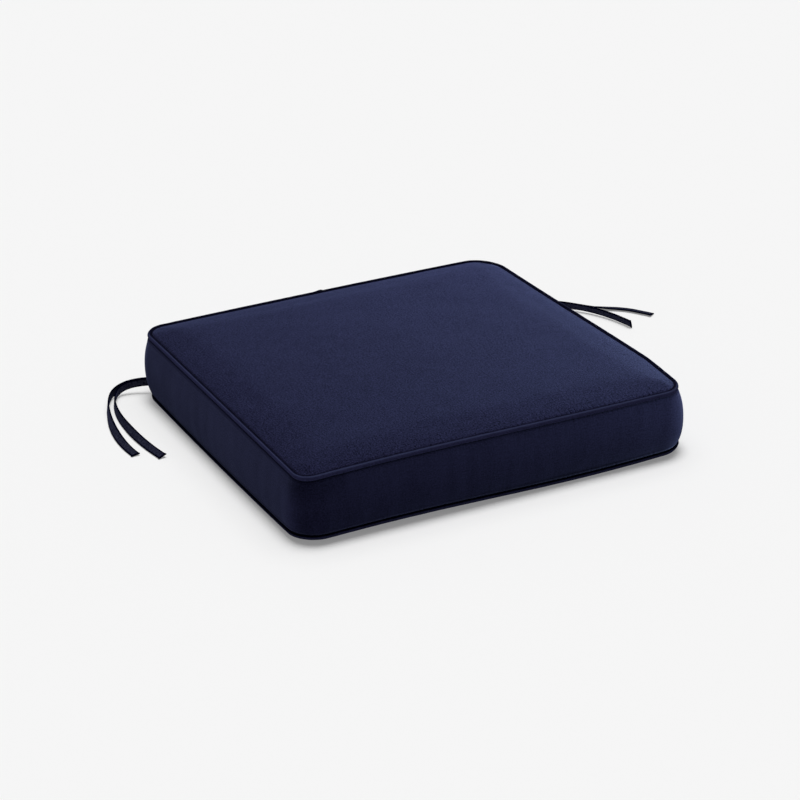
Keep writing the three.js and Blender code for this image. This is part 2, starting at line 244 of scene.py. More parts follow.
seams = {
    # the lengths of the front and the rear seam and the depth between them, in millimetres
    "front": 500, "rear": 475.4, "deep": 446.8,
    # rounding and height of the top and the bottom seam at each corner, and how far the boxing stands out
    "corners": {
        "frontLeft": {"radius": (18, 32), "height": (84.3, 10.0), "swell": 7.2},
        "frontRight": {"radius": (26, 34), "height": (84.3, 10.4), "swell": 9.5},
        "rearRight": {"radius": (38, 38), "height": (84.3, 8.0), "swell": 7.2},
        "rearLeft": {"radius": (25, 33), "height": (84.3, 8.0), "swell": 9.8},
    },
    # each side's two corners, how far its middle bows out, rises at the top and the bottom seam and swells,
    # and the sway, which lifts the first half of a seam and lowers the second
    "sides": {
        "front": {"ends": ("frontLeft", "frontRight"), "outward": -0.4, "swell": 9.0,
                  "rise": (1.5, -1.6), "sway": (0.9, 2.3)},
        "right": {"ends": ("frontRight", "rearRight"), "outward": 1.9, "swell": 8.6,
                  "rise": (-1.0, -1.6), "sway": (0.6, 0)},
        "rear": {"ends": ("rearRight", "rearLeft"), "outward": 1.0, "swell": 7.6,
                 "rise": (0.8, -2.0), "sway": (0, 0)},
        "left": {"ends": ("rearLeft", "frontLeft"), "outward": 0.4, "swell": 8.2,
                 "rise": (1.0, -2.8), "sway": (0, 0)},
    },
    "sidePower": 0.7,                    # below 1, a side reaches its middle values sooner
    "sideBlend": 3,                      # over about this length one side's values give way to the next's
    "cornerZone": 2.6,                   # a corner's rounding moves points over this many radii of each side
    "drawnIn": 8.8, "drawnLength": 90,   # the right side's top seam, from the front corner on
}


def roundedInset(a, b, radius):
    # moves points at insets a and b from two sides of a corner onto nested rounded corners
    inset = np.minimum(a, b)
    rounding = np.maximum(radius - inset, 1e-6)
    cut = (1 - math.pi / 4) * rounding       # the arc is this much shorter than the sharp corner, each way
    zone = seams["cornerZone"] * radius
    alongSide = np.maximum(a, b) - inset
    eased = np.where(alongSide < zone, alongSide * (zone - cut) / zone, alongSide - cut)
    turned = np.clip(math.pi / 4 - eased / rounding, 0, None)
    onArc = turned > 0
    far = np.where(onArc, inset + rounding * (1 - np.sin(turned)), inset + eased + cut)
    near = np.where(onArc, inset + rounding * (1 - np.cos(turned)), inset)
    return np.where(a >= b, far, near), np.where(a >= b, near, far)


def planOf(across, deep, topShare):
    # plan place of a point from its distances along the front and along the depth, in millimetres
    width, depth = seams["front"], seams["deep"]
    x, y = across.copy(), deep.copy()
    for name, corner in seams["corners"].items():
        right, rear = name.endswith("Right"), name.startswith("rear")
        here = ((across > width / 2) == right) & ((deep > depth / 2) == rear)
        a = np.where(right, width - across, across)[here]
        b = np.where(rear, depth - deep, deep)[here]
        top, low = corner["radius"]
        a, b = roundedInset(a, b, (low + (top - low) * topShare)[here])
        x[here] = width - a if right else a
        y[here] = depth - b if rear else b
    narrow = 1 - (1 - seams["rear"] / width) * y / depth
    return np.column_stack([(x - width / 2) * narrow, y - depth / 2])


def overSides(across, deep, valueOf):
    # a value of the four sides at points in plan, where the nearest side counts most
    width, depth = seams["front"], seams["deep"]
    away = {"front": deep, "right": width - across, "rear": depth - deep, "left": across}
    share = {"front": across / width, "right": deep / depth}
    share.update({"rear": 1 - share["front"], "left": 1 - share["right"]})
    total, weights = 0, 0
    for name, side in seams["sides"].items():
        part = np.clip(share[name], 0, 1)
        weight = 1 / (np.maximum(away[name], 0) + seams["sideBlend"]) ** 2
        total = total + weight * valueOf(side, part, np.sin(math.pi * part) ** seams["sidePower"])
        weights = weights + weight
    return total / weights


def betweenCorners(side, share, valueOf):
    start, end = [valueOf(seams["corners"][name]) for name in side["ends"]]
    return start * (1 - share) + end * share


def seamHeight(across, deep, seam):
    # seam is 0 for the top seam and 1 for the bottom seam
    def ofSide(side, share, middle):
        level = betweenCorners(side, share, lambda corner: corner["height"][seam])
        return level + side["rise"][seam] * middle + side["sway"][seam] * np.sin(2 * math.pi * share)

    return overSides(across, deep, ofSide)


def swellOut(across, deep):
    def ofSide(side, share, middle):
        atEnds = betweenCorners(side, share, lambda corner: corner["swell"])
        return atEnds * (1 - middle) + side["swell"] * middle

    return overSides(across, deep, ofSide)


def seamPlan(across, deep, facing, topShare, nearness):
    # plan places near the seam line, drawn in or bowed out with it
    plan = planOf(across, deep, topShare)
    pulled = np.clip(1 - (plan[:, 1] + seams["deep"] / 2) / seams["drawnLength"], 0, 1)
    bow = overSides(across, deep, lambda side, share, middle: side["outward"] * middle)
    outward = bow - seams["drawnIn"] * pulled * np.clip(facing[:, 0], 0, 1) * topShare
    return plan + facing * (outward * nearness)[:, None]


def insetsOf(across, deep):
    # distances from the front, the right, the rear and the left side
    return np.array([deep, seams["front"] - across, seams["deep"] - deep, across])


def outlineRun(across, deep):
    # distance round the sharp outline of the nearest point on it, counter-clockwise from the front left
    width, depth = seams["front"], seams["deep"]
    nearest = np.argmin(insetsOf(across, deep), axis=0)
    runs = [across, width + deep, 2 * width + depth - across, 2 * (width + depth) - deep]
    return np.choose(nearest, runs)


def outlineTable():
    # the rounded outline: where each point of the sharp one lies, the way it faces and its true run
    width, depth = seams["front"], seams["deep"]
    corners = np.array([(0, 0), (width, 0), (width, depth), (0, depth), (0, 0)], float)
    cornerRun = np.append(0, np.cumsum(np.linalg.norm(np.diff(corners, axis=0), axis=1)))
    at = np.linspace(0, cornerRun[-1], outlineSteps, endpoint=False)
    across, deep = np.interp(at, cornerRun, corners[:, 0]), np.interp(at, cornerRun, corners[:, 1])
    plan = planOf(across, deep, np.full(outlineSteps, 0.5))
    along = unit(np.roll(plan, -1, axis=0) - np.roll(plan, 1, axis=0))
    facing = np.column_stack([along[:, 1], -along[:, 0]])
    steps = np.linalg.norm(np.roll(plan, -1, axis=0) - plan, axis=1)
    trueRun = np.append(0, np.cumsum(steps))
    return across, deep, facing, trueRun


def atOutline(run, column):
    # a column of the outline table at distances round the sharp outline
    at = run / (2 * (seams["front"] + seams["deep"])) * outlineSteps
    low = np.floor(at).astype(int)
    part = at - low
    if column.ndim == 2:
        low, part = low % outlineSteps, part[:, None]
        return column[low] * (1 - part) + column[(low + 1) % outlineSteps] * part
    low = np.clip(low, 0, outlineSteps - 1)
    return column[low] * (1 - part) + column[low + 1] * part


outlineSteps = 4000
outlineAcross, outlineDeep, outlineFacing, outlineTrue = outlineTable()


pad = {
    "cells": (100, 90, 18),      # along X, along Y and up the boxing
    "stitch": (3.1, 217.5),      # the sewn line behind the cord: distance and angle from straight out
    "lip": 3.35,                 # how far from the cord's middle the cloth wraps it
    "panelLips": (172, 125),     # angles of the wrap on the panel's side, and on the boxing's side
    "boxLips": (262, 312),
    "leftLip": 25,               # degrees: on the left the boxing wraps the upper cord higher up
    "farLip": 26,                # degrees: at the rear the panel leaves more of the upper cord free
    "rightShare": 0.6,           # and on the right it does so by this share
    "panelInsets": (6.2, 10.5, 15.2),
    "shoulder": (9.2, 12.5),     # rise of the top panel and the length that it takes
    "shoulderTurn": 4,           # how softly the shoulder turns at a corner
    "lipFade": 8,                # length over which the wrapped cloth comes down to the panel
    "dome": 2.6,
    "contact": 38,               # where the bottom panel reaches the floor
    "bowReach": 60,              # length over which a side's bow dies out in the panel
    "swellPower": 2.4, "swellSag": 1.12,
    "fullness": 0.95,            # crown and swell before the cloth is blown up
    "frames": 20,
    "cap": 1.0,                  # how far the blown-up cloth may move
    "cloth": {"quality": 5, "mass": 0.3, "tension_stiffness": 12, "compression_stiffness": 12,
              "shear_stiffness": 4, "bending_stiffness": 0.6,
              "use_pressure": True, "uniform_pressure_force": 4.0},
    "dents": ((0.5, 62), (0.25, 27.9)),    # depth and size of the filling's soft hollows, large and small
    "boxDents": 0.7,             # share of them in the boxing
    "ripples": (0.28, 17, 0.18),     # upright ripples in the boxing: depth, width and width over height
    "mapStart": 0.5,             # on a panel the seam's map starts this far in, clear of the boxing
}


def cuts(cells, total):
    # places of the cuts along one direction: close together at both seams, even between
    edge = [0.0, 0.01, 0.02] + list(pad["panelInsets"])
    inner = np.linspace(edge[-1], total - edge[-1], cells - 2 * (len(edge) - 1) + 1)
    return np.array(edge[:-1] + list(inner) + [total - inset for inset in edge[:-1]][::-1])


def startPad():
    # a cube cut into strips along its three directions
    deselectAll()
    bpy.ops.mesh.primitive_cube_add(size=2, location=(0, 0, 0))
    piece = bpy.context.object
    piece.name = "cushion_cover"
    for axis, cells in enumerate(pad["cells"]):
        mesh = piece.data
        ends = np.zeros(len(mesh.edges) * 2, int)
        mesh.edges.foreach_get("vertices", ends)
        ends = points(piece)[ends.reshape(-1, 2)]
        pick(piece)
        bpy.ops.object.mode_set(mode="EDIT")
        bpy.ops.mesh.select_mode(type="EDGE")
        bpy.ops.mesh.select_all(action="DESELECT")
        bpy.ops.object.mode_set(mode="OBJECT")
        mesh.edges.foreach_set("select", np.abs(ends[:, 0, axis] - ends[:, 1, axis]) > 0.5)
        bpy.ops.object.mode_set(mode="EDIT")
        bpy.ops.mesh.subdivide(number_cuts=cells - 1, smoothness=0)
        bpy.ops.object.mode_set(mode="OBJECT")
    return piece


def padCuts(piece):
    # which cut of each direction every vertex lies on, and the plan insets that it stands for
    places = points(piece)
    i, j, k = [np.rint((places[:, axis] + 1) / 2 * pad["cells"][axis]).astype(int) for axis in range(3)]
    nx, ny, nz = pad["cells"]
    return {
        "k": k,
        "ring": np.minimum.reduce([i, nx - i, j, ny - j]),
        "across": cuts(nx, seams["front"])[i],
        "deep": cuts(ny, seams["deep"])[j],
        "boxing": (k > 0) & (k < nz),
    }


def padShape(at, fullness):
    # the cushion over its seam lines, with its crown and swell at a share of their height, in metres
    nz = pad["cells"][2]
    k, ring, across, deep = at["k"], at["ring"], at["across"], at["deep"]
    width, depth = seams["front"], seams["deep"]
    insets = insetsOf(across, deep)
    inset = insets.min(axis=0)
    facing = unit(atOutline(outlineRun(across, deep), outlineFacing))
    down = np.where(at["boxing"], np.clip((nz - 2 - k) / (nz - 4), 0, 1), k == 0)
    plan = seamPlan(across, deep, facing, 1 - down, np.exp(-inset / pad["bowReach"]))
    top, bottom = seamHeight(across, deep, 0), seamHeight(across, deep, 1)

    # panels: a soft shoulder from the seam, then a low dome, and the underside down to the floor
    turn = pad["shoulderTurn"]
    soft = np.clip(-turn * np.log(np.exp(-insets / turn).sum(axis=0)), 0, None)
    rise, length = pad["shoulder"]
    low = np.clip(1 - (2 * across / width - 1) ** 2, 0, 1) * np.clip(1 - (2 * deep / depth - 1) ** 2, 0, 1)
    lipRise = pad["lip"] * math.sin(math.radians(pad["panelLips"][1]))
    crown = rise * (1 - np.exp(-soft / length)) + pad["dome"] * low
    height = top + np.maximum(crown * fullness, lipRise * np.exp(-inset / pad["lipFade"]))
    under = bottom * np.clip(1 - inset / pad["contact"], 0, 1) ** 2
    height = np.where(k == 0, under, height)

    # boxing: swollen between the two cords
    lipOut, lipDown = onCircle(pad["lip"], pad["boxLips"][1])
    profile = 1 - np.abs(2 * down ** pad["swellSag"] - 1) ** pad["swellPower"]
    swell = swellOut(across, deep)
    outward = np.where(at["boxing"], lipOut + (swell - lipOut) * profile * fullness, 0)
    height = np.where(at["boxing"], (top + lipDown) * (1 - down) + (bottom - lipDown) * down, height)

    # where the cloth wraps the cords, and the sewn line behind each cord
    wraps = [(k == nz) & (ring == n) for n in (0, 1, 2)] + [k == nz - 1, k == nz - 2]
    wrapsBelow = [(k == 0) & (ring == n) for n in (0, 1, 2)] + [k == 1, k == 2]
    circles = [pad["stitch"]] + [(pad["lip"], angle) for angle in pad["panelLips"] + pad["boxLips"]]
    onLeft = np.clip(-facing[:, 0], 0, 1) ** 2
    onFar = np.clip(pad["rightShare"] * facing[:, 0] + facing[:, 1], 0, 1)
    for (distance, angle), above, below in zip(circles, wraps, wrapsBelow):
        turned = pad["leftLip"] * onLeft * above * (angle == pad["boxLips"][1])
        turned = turned + pad["farLip"] * onFar * above * (angle in pad["panelLips"])
        out, rise = onCircle(distance, angle + turned)
        outward = np.where(above | below, out, outward)
        height = np.where(above, top + rise, np.where(below, bottom - rise, height))
    plan = plan + facing * outward[:, None]
    held = np.any(wraps + wrapsBelow, axis=0) | ((k == 0) & (inset > pad["contact"]))
    return np.column_stack([plan, height]) * mm, held


def onCircle(radius, degrees):
    return radius * np.cos(np.radians(degrees)), radius * np.sin(np.radians(degrees))


def blowUp(piece, start, held):
    # the cover is blown up from the inside, held at its seams and where it rests
    group = piece.vertex_groups.new(name="sewn")
    group.add(np.nonzero(held)[0].tolist(), 1.0, "ADD")
    pick(piece)
    bpy.ops.object.modifier_add(type="CLOTH")
    cloth = piece.modifiers[-1]
    for name, setting in pad["cloth"].items():
        setattr(cloth.settings, name, setting)
    cloth.settings.vertex_group_mass = group.name
    cloth.settings.effector_weights.gravity = 0
    cloth.collision_settings.use_collision = False
    cloth.point_cache.frame_start, cloth.point_cache.frame_end = 1, pad["frames"]
    for step in range(1, pad["frames"] + 1):
        bpy.context.scene.frame_set(step)
    bpy.ops.object.modifier_apply(modifier=cloth.name)
    bpy.context.scene.frame_set(1)
    piece.vertex_groups.clear()
    moved = points(piece) - start
    far = np.linalg.norm(moved, axis=1)
    most, half = round(far.max() / mm, 1), round(np.median(far) / mm, 1)
    print("cloth moved up to", most, "mm, half of it over", half, "mm")
    cap = pad["cap"] * mm
    return start + moved * (cap * np.tanh(far / cap) / np.maximum(far, 1e-9))[:, None]


def mapPad(piece, at, shape):
    # two maps in metres: the weave of each panel, and the run along the nearest seam with the distance
    # from it, which is above zero on the panels and below it on the boxing
    mesh = piece.data
    corner = np.zeros(len(mesh.loops), int)
    mesh.loops.foreach_get("vertex_index", corner)
    corner = corner.reshape(-1, 4)
    run = outlineRun(at["across"], at["deep"])
    around = atOutline(run, outlineTrue)[corner]
    whole = outlineTrue[-1]
    overStart = (around.max(axis=1) - around.min(axis=1) > whole / 2)[:, None]
    around = around + whole * (overStart & (around < whole / 2))
    k = at["k"][corner]
    onBoxing = (k.max(axis=1) != k.min(axis=1))[:, None]
    height = shape[corner][..., 2] / mm
    heights = [seamHeight(at["across"], at["deep"], seam)[corner] for seam in (0, 1)]
    inset = insetsOf(at["across"], at["deep"]).min(axis=0)[corner]
    fromSeam = np.minimum(np.abs(height - heights[0]), np.abs(height - heights[1]))
    away = np.where(onBoxing, -fromSeam, np.maximum(inset, pad["mapStart"]))
    u = np.where(onBoxing, around, shape[corner][..., 0] / mm)
    v = np.where(onBoxing, height, shape[corner][..., 1] / mm)
    uvFrom(piece, "weave", np.stack([u, v], axis=-1) * mm)
    uvFrom(piece, "seam", np.stack([around, away], axis=-1) * mm)


def makePad():
    piece = startPad()
    at = padCuts(piece)
    full, held = padShape(at, 1.0)
    mapPad(piece, at, full)
    start, held = padShape(at, pad["fullness"])
    setPoints(piece, start)
    shape = blowUp(piece, start, held)
    off = np.round(np.abs(shape - full).max(axis=0) / mm, 2)
    print("cushion blown up, off the full form by", off, "mm")
    setPoints(piece, shape)
    normals = np.zeros(len(shape) * 3)
    piece.data.vertices.foreach_get("normal", normals)
    normals = normals.reshape(-1, 3)
    loose = np.where(held, 0, 1.0)
    large, small = pad["dents"]
    dents = large[0] * waver(shape, large[1] * mm, 1) + small[0] * waver(shape, small[1] * mm, 2)
    depth, size, upright = pad["ripples"]
    ripples = depth * waver(shape * np.array([1, 1, upright]), size * mm, 3)
    moved = np.where(at["boxing"], pad["boxDents"] * dents + ripples, dents)
    moved = np.where(at["k"] == 0, 0, moved) * loose
    shape = shape + normals * (moved * mm)[:, None]
    shape[:, 2] = np.maximum(shape[:, 2], 0)
    setPoints(piece, shape)
    pick(piece)
    bpy.ops.object.modifier_add(type="SUBSURF")
    soft = piece.modifiers[-1]
    soft.levels = soft.render_levels = 1
    soft.uv_smooth = "NONE"
    bpy.ops.object.modifier_apply(modifier=soft.name)
    bpy.ops.object.shade_smooth()
    return piece


cover = makePad()
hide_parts("cushion_body")
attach(cover, "root")
print("cushion made,", len(cover.data.polygons), "faces")


piping = {
    "radius": 3.2,
    "joinX": 3.7,              # place of the join along the rear
    "rearFacing": 0.99,        # where the outline faces rearwards by this it counts as the rear
    "joinRamp": 12, "joinRise": 1.7,       # the end on top comes down over this length from this height
    "tuck": 9, "tuckDrop": 1.6, "tuckIn": 0.96,     # the other end goes under it: length, drop and way in
    "spacing": 2.2,            # from step to step along the cord
    "uneven": (0.035, 9.0),    # share by which the cord's thickness varies, and over what length
    "ends": (0.55, 0.92),      # thickness of the last step and of the one before it, as shares
    "roundness": 5,
    # where round the cords their cloth is painted lighter as a painted highlight, in degrees up from
    # straight out
    "crest": 55, "lowCrest": 0,
    "leftNarrow": 0.6,         # stretches the map round the cord on the left, so its painted highlight is narrower
}


def mapCord(piece, line, outward, length, crest):
    # the curve's own map, in metres: along the cord, and round it from its crest
    mesh = piece.data
    layer = mesh.uv_layers[0]
    layer.name = "cord"
    share = np.zeros(len(layer.data) * 2)
    layer.data.foreach_get("uv", share)
    share = share.reshape(-1, 2)
    corner = np.zeros(len(mesh.loops), int)
    mesh.loops.foreach_get("vertex_index", corner)
    nearest = np.clip(np.rint(share[:, 0] * (len(line) - 1)).astype(int), 0, len(line) - 1)
    away = points(piece)[corner] / mm - line[nearest]
    out = (away[:, :2] * outward[nearest]).sum(axis=1)
    angle = np.arctan2(away[:, 2], out) / (2 * math.pi) - crest / 360
    # where round the cord the curve's map starts, and whichever way it runs the corners agree best
    starts = [np.exp(2j * math.pi * (angle - way * share[:, 1])).mean() for way in (1, -1)]
    best = int(np.argmax(np.abs(starts)))
    way = (1, -1)[best]
    around = np.angle(starts[best]) / (2 * math.pi) + way * share[:, 1]
    # each face as a whole goes to within half a turn of the crest
    sizes = np.zeros(len(mesh.polygons), int)
    mesh.polygons.foreach_get("loop_total", sizes)
    firsts = np.append(0, np.cumsum(sizes)[:-1])
    middle = np.repeat(np.add.reduceat(around, firsts) / sizes, sizes)
    around = around - np.rint(middle)
    narrow = 1 + piping["leftNarrow"] * np.clip(-outward[nearest, 0], 0, 1)
    around = around * narrow * 2 * math.pi * piping["radius"]
    uvFrom(piece, "cord", np.column_stack([share[:, 0] * length, around]) * mm)


def makePiping(name, node, topShare):
    # the run starts at the join, with the end that lies on top, and comes back to tuck in under it
    everywhere = np.full(outlineSteps, float(topShare))
    plan = seamPlan(outlineAcross, outlineDeep, outlineFacing, everywhere, 1.0)
    line = np.column_stack([plan, seamHeight(outlineAcross, outlineDeep, 1 - topShare)])
    onRear = outlineFacing[:, 1] > piping["rearFacing"]
    first = int(np.argmin(np.where(onRear, np.abs(line[:, 0] - piping["joinX"]), 1e9)))
    line = np.roll(line, -first, axis=0)
    facing = np.roll(outlineFacing, -first, axis=0)
    tail = int(piping["tuck"] / np.linalg.norm(line[1] - line[0]))
    line, facing = np.vstack([line, line[: tail + 1]]), np.vstack([facing, facing[: tail + 1]])
    run = np.append(0, np.cumsum(np.linalg.norm(np.diff(line, axis=0), axis=1)))
    tucked = np.clip(1 - (run[-1] - run) / piping["tuck"], 0, 1)
    line[:, 2] += piping["joinRise"] * np.clip(1 - run / piping["joinRamp"], 0, 1)
    line[:, 2] -= piping["tuckDrop"] * tucked
    line[:, :2] -= facing * (piping["tuckIn"] * tucked)[:, None]
    count = int(run[-1] / piping["spacing"])
    even = np.linspace(0, run[-1], count)
    line = np.column_stack([np.interp(even, run, line[:, axis]) for axis in range(3)])
    outward = unit(np.column_stack([np.interp(even, run, facing[:, axis]) for axis in range(2)]))
    share, size = piping["uneven"]
    thick = 1 + share * waver(line, size, 5 + topShare)
    thick[[0, 1, -2, -1]] *= piping["ends"] + piping["ends"][::-1]

    curve = bpy.data.curves.new(name, "CURVE")
    curve.dimensions = "3D"
    curve.twist_mode = "Z_UP"
    curve.bevel_depth = piping["radius"] * mm
    curve.bevel_resolution = piping["roundness"]
    curve.use_fill_caps = True
    spline = curve.splines.new("POLY")
    spline.points.add(count - 1)
    spline.points.foreach_set("co", np.column_stack([line * mm, np.ones(count)]).ravel())
    spline.points.foreach_set("radius", thick)
    piece = bpy.data.objects.new(name, curve)
    bpy.context.scene.collection.objects.link(piece)
    pick(piece)
    bpy.ops.object.convert(target="MESH")
    piece = bpy.context.object
    bpy.ops.object.mode_set(mode="EDIT")
    bpy.ops.mesh.select_all(action="SELECT")
    bpy.ops.mesh.remove_doubles(threshold=0.01 * mm)
    bpy.ops.mesh.normals_make_consistent(inside=False)
    bpy.ops.object.mode_set(mode="OBJECT")
    bpy.ops.object.shade_smooth()
    mapCord(piece, line, outward, run[-1], piping["crest"] if topShare else piping["lowCrest"])
    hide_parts(node)
    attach(piece, "root")
    return piece


topPiping = makePiping("piping_upper", "piping_top", 1)
lowPiping = makePiping("piping_lower", "piping_bottom", 0)
print("piping sewn in")


class Value:
    # wraps a node's socket, so that sums are written as sums
    def __init__(self, tree, socket):
        self.tree, self.socket = tree, socket

    def maths(self, operation, *values):
        return addNode(self.tree, "ShaderNodeMath", {"operation": operation}, dict(enumerate(values)))

    def __add__(self, other):
        return self.maths("ADD", self, other)

    def __sub__(self, other):
        return self.maths("SUBTRACT", self, other)

    def __rsub__(self, other):
        return self.maths("SUBTRACT", other, self)

    def __mul__(self, other):
        return self.maths("MULTIPLY", self, other)

    def __truediv__(self, other):
        return self.maths("DIVIDE", self, other)

    def __neg__(self):
        return self.maths("MULTIPLY", self, -1.0)

    def sine(self):
        return self.maths("SINE", self)

    def size(self):
        return self.maths("ABSOLUTE", self)

    def power(self, other):
        return self.maths("POWER", self, other)

    def ramp(self, low, high=1.0):
        # low where this is 0, rising evenly to high where it is 1
        return self * (high - low) + low

    def fade(self, length):
        # 1 at nothing, falling away over the length
        return self.maths("EXPONENT", -(self / length))

    def bell(self, middle, width):
        # 1 at the middle, falling away to both sides
        away = (self - middle) / width
        return self.maths("EXPONENT", -(away * away))

    def between(self, low, high):
        # 0 up to low, rising smoothly to 1 at high
        return addNode(self.tree, "ShaderNodeMapRange", {"interpolation_type": "SMOOTHSTEP"},
                       {"Value": self, "From Min": low, "From Max": high})

    __radd__ = __add__
    __rmul__ = __mul__


def addNode(tree, kind, settings=None, sockets=None, out=0):
    # one node, with its settings made first, then its sockets' values or links
    node = tree.nodes.new(kind)
    for name, setting in (settings or {}).items():
        setattr(node, name, setting)
    for name, value in (sockets or {}).items():
        if isinstance(value, Value):
            tree.links.new(value.socket, node.inputs[name])
        else:
            node.inputs[name].default_value = value
    return Value(tree, node.outputs[out])


def noiseOf(tree, vector, lumps, detail=2.0, roughness=0.5):
    # soft noise with so many lumps to a metre, alike all ways or a number for each axis of the map
    if isinstance(lumps, tuple):
        vector = addNode(tree, "ShaderNodeMapping", None, {"Vector": vector, "Scale": lumps})
        lumps = 1.0
    return addNode(tree, "ShaderNodeTexNoise", {"noise_dimensions": "3D"},
                   {"Vector": vector, "Scale": lumps, "Detail": detail, "Roughness": roughness})


def mapOf(tree, name):
    # the two coordinates of a map, in metres, and the map itself
    both = addNode(tree, "ShaderNodeUVMap", {"uv_map": name})
    u = addNode(tree, "ShaderNodeSeparateXYZ", None, {"Vector": both}, "X")
    v = addNode(tree, "ShaderNodeSeparateXYZ", None, {"Vector": both}, "Y")
    return both, u, v


canvas = {
    "dark": (0.0050, 0.0051, 0.0150),
    "light": (0.0138, 0.0143, 0.0392),
    "darkest": -0.5,             # the lowest share of light that a spot may have
    "warp": 0.62 * mm, "weft": 0.78 * mm,      # from thread to thread
    "threadHeight": 0.05 * mm,
    "threadTone": 0.08,          # how far the crossings of the threads stand apart in tone
    "roughness": 0.86,
    "sheen": {"cover": 0.2, "cords": 0.05, "ties": 0.07},
    "sheenRoughness": 0.4, "sheenTint": (0.37, 0.43, 0.85),
}


def newCloth(name, use):
    material = bpy.data.materials.new(name)
    material.use_nodes = True
    tree = material.node_tree
    shader = tree.nodes["Principled BSDF"]
    shader.inputs["Sheen Weight"].default_value = canvas["sheen"][use]
    shader.inputs["Sheen Roughness"].default_value = canvas["sheenRoughness"]
    shader.inputs["Sheen Tint"].default_value = (*canvas["sheenTint"], 1)
    shader.inputs["Specular IOR Level"].default_value = 0.0
    shader.inputs["Roughness"].default_value = canvas["roughness"]
    return material, tree, shader


def weaveOf(u, v):
    # plain weave: round threads over and under, as a height from 0 to 1 and as a checker of the two threads
    warp = (u * (math.pi / canvas["warp"])).sine()
    weft = (v * (math.pi / canvas["weft"])).sine()
    crossing = warp * weft
    return crossing.size().power(0.5), crossing


def blend(tree, share, dark, light):
    settings = {"data_type": "RGBA", "clamp_factor": False}
    return addNode(tree, "ShaderNodeMix", settings, {0: share, 6: dark, 7: light}, 2)


def finishCloth(tree, shader, tone, height, light, crest=None):
    tone = tone.maths("MAXIMUM", tone, canvas["darkest"])
    colour = blend(tree, tone, (*canvas["dark"], 1), (*light, 1))
    # a painted highlight along a cord, where one is given
    if crest:
        colour = blend(tree, crest, colour, (*cordCloth["crestColour"], 1))
    bump = addNode(tree, "ShaderNodeBump", None, {"Height": height, "Distance": 1.0, "Strength": 1.0})
    tree.links.new(colour.socket, shader.inputs["Base Color"])
    tree.links.new(bump.socket, shader.inputs["Normal"])


puckers = {
    "pitch": 6.4 * mm, "depth": 0.9 * mm, "reach": 5.5 * mm,
    "shade": 1.1,              # how far the painted shade in a pucker darkens the cloth
    "boxShare": 0.45,          # the boxing puckers less than the panel
    # lumps to a metre of seam in the noise that shifts the puckers, groups them and parts one from the next
    "shifts": 38, "groups": 11, "singles": 120,
    "shiftBy": 9.0,            # radians of their wave
    "grouped": (0.34, 0.66), "parted": (0.3, 0.7),     # the part of the noise that is used
    "reaches": (0.45, 1.45), "depths": (0.5, 1.2),     # shares that single puckers vary between
    "betweenGroups": 0.15,
    "stretch": (0.22, 0.38, 0.5, 0.55),    # metres along the seam where they grow strong and weak again
    "elsewhere": 0.25,         # their share outside that stretch
}

# the few puckers that run further into the cloth
longPuckers = {
    "lumps": 190, "chosen": (0.6, 0.68), "reach": 11 * mm,
    "share": 0.65, "boxShare": 0.3, "betweenGroups": 0.25,
}

boxing = {
    # the turned-in edge that shows through beside a seam: distance from it, width, height, unevenness
    "ridge": (6.4 * mm, 1.3 * mm, 0.28 * mm, (0.4, 1.2)),
    # painted shade in a line above the bottom seam: its height, width and share
    "lowSeam": (11.5 * mm, 3.4 * mm, 0.8),
    "lowPart": (70 * mm, 0.4),       # and painted shade from there down, fading up to this height: a share
    "streaks": 0.5, "streakLumps": (70, 70, 9),
    # painted shade high up round the near corner and painted light low down on its left, by height and
    # distance from it
    "cornerDark": 0.42, "cornerHeights": (45 * mm, 75 * mm),
    "darkLeft": (22 * mm, 16 * mm), "darkRight": (18.6 * mm, 62 * mm),
    "lightLeft": (36 * mm, 26 * mm, 14 * mm),
}

panel = {
    # the panels are painted lighter than the boxing, as painted light
    "lighter": 0.07,
    "rim": (3 * mm, 0.5),      # painted light, stronger still along the seam, over a length and by a share
    "parting": 0.2 * mm,       # half the width over which panel turns to boxing in the seam's map
}

mottling = {
    # each layer's share of the tone, its lumps to a metre, its detail and its roughness
    "slubs": (0.9, (900, 60, 1), 1.0, 0.5),
    "picks": (0.8, (60, 800, 1), 1.0, 0.5),
    "grain": (3.2, 560.0, 1.0, 0.6),
    "blotches": (0.35, 120.0, 2.0, 0.6),
    "clouds": (0.25, 13.0, 3.0, 0.55),
}
mottlingShares = (0.5, 1.4)    # of it on the boxing and on the panels
grainHeight = 0.05 * mm


def seamPuckers(tree, seamMap, run, fromSeam, onPanel):
    # how deep the stitch puckers are, as a share, and the noise that shifts them
    def alongSeam(lumps, detail=1.0):
        return noiseOf(tree, seamMap, (lumps, 0, 1), detail)

    shaky = alongSeam(puckers["shifts"], 2.0)
    strong = alongSeam(puckers["groups"]).between(*puckers["grouped"])
    start, full, end, gone = puckers["stretch"]
    stretch = run.between(start, full) * (1 - run.between(end, gone))
    strong = strong * stretch.ramp(puckers["elsewhere"])
    wave = run * (2 * math.pi / puckers["pitch"]) + shaky * puckers["shiftBy"]
    wave = (wave.sine() * 0.5 + 0.5).power(2.0)
    single = alongSeam(puckers["singles"]).between(*puckers["parted"])
    depth = wave * fromSeam.fade(single.ramp(*puckers["reaches"]) * puckers["reach"])
    depth = depth * onPanel.ramp(puckers["boxShare"]) * strong.ramp(puckers["betweenGroups"])
    depth = depth * single.ramp(*puckers["depths"])
    further = alongSeam(longPuckers["lumps"], 0.0).between(*longPuckers["chosen"])
    further = further * fromSeam.fade(longPuckers["reach"]) * onPanel.ramp(longPuckers["boxShare"])
    further = further * strong.ramp(longPuckers["betweenGroups"]) * longPuckers["share"]
    return depth + further, shaky


def lowShade(height):
    # painted shade low on the boxing, in a line above the bottom seam and fading from there up
    place, width, atSeam = boxing["lowSeam"]
    top, below = boxing["lowPart"]
    return height.bell(place, width) * atSeam + (1 - height.between(place, top)) * below


